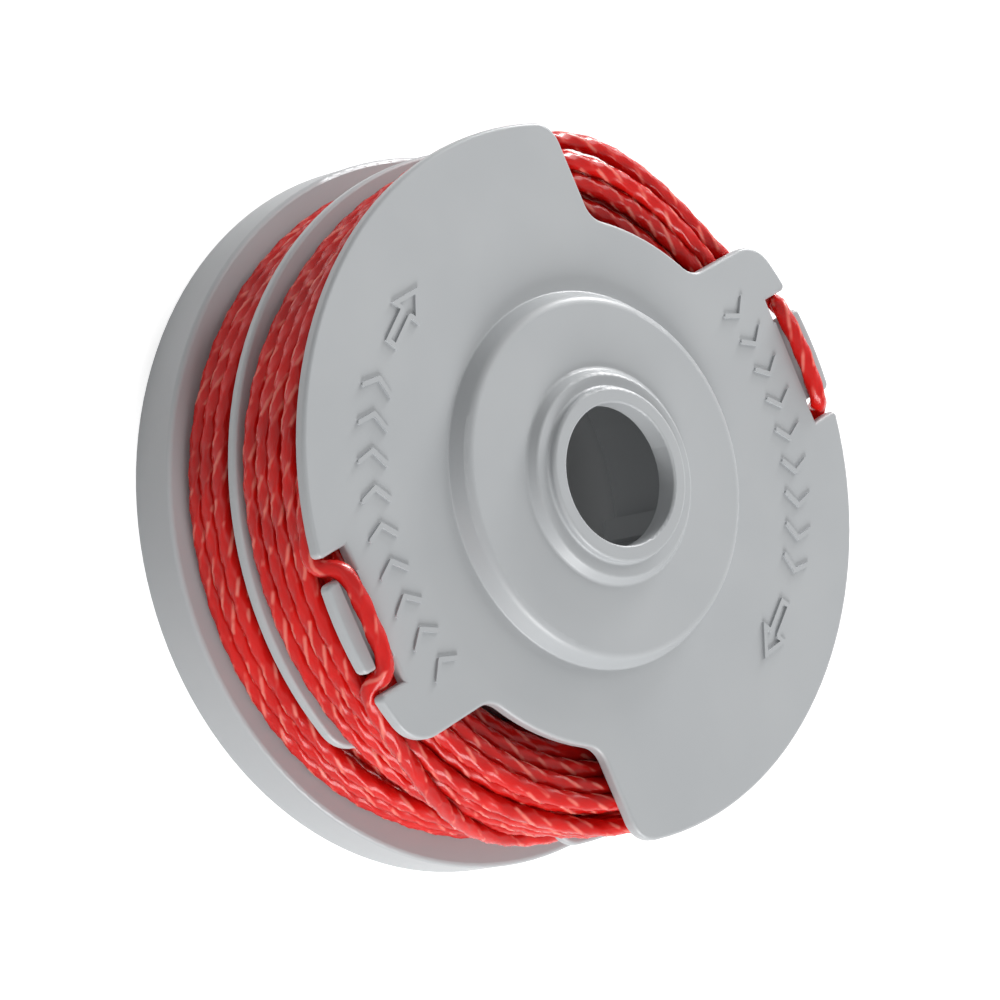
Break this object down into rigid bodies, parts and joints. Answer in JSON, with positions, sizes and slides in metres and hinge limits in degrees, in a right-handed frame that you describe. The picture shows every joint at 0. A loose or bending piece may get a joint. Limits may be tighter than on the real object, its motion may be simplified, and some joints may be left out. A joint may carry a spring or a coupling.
{
  "type": "trimmer line spool",
  "caption": "Grey moulded spool wound with twisted red trimmer line, with a divider, corner cut-outs, cleats for the line's ends and a stepped nose round the arbor bore.",
  "frame": {"origin": "centre of the rear rim that the spool stands on", "axes": "+Z along the spool's axis, from the rear rim to the nose; +X through one of the line cleats"},
  "size_m": [0.0682, 0.0682, 0.027],
  "materials": {
    "grey_plastic": "satin moulded",
    "red_line": "glossy twisted nylon"
  },
  "bodies": {
    "root": {"spool": "grey_plastic", "line_upper": "red_line", "line_lower": "red_line"}
  },
  "joints": []
}
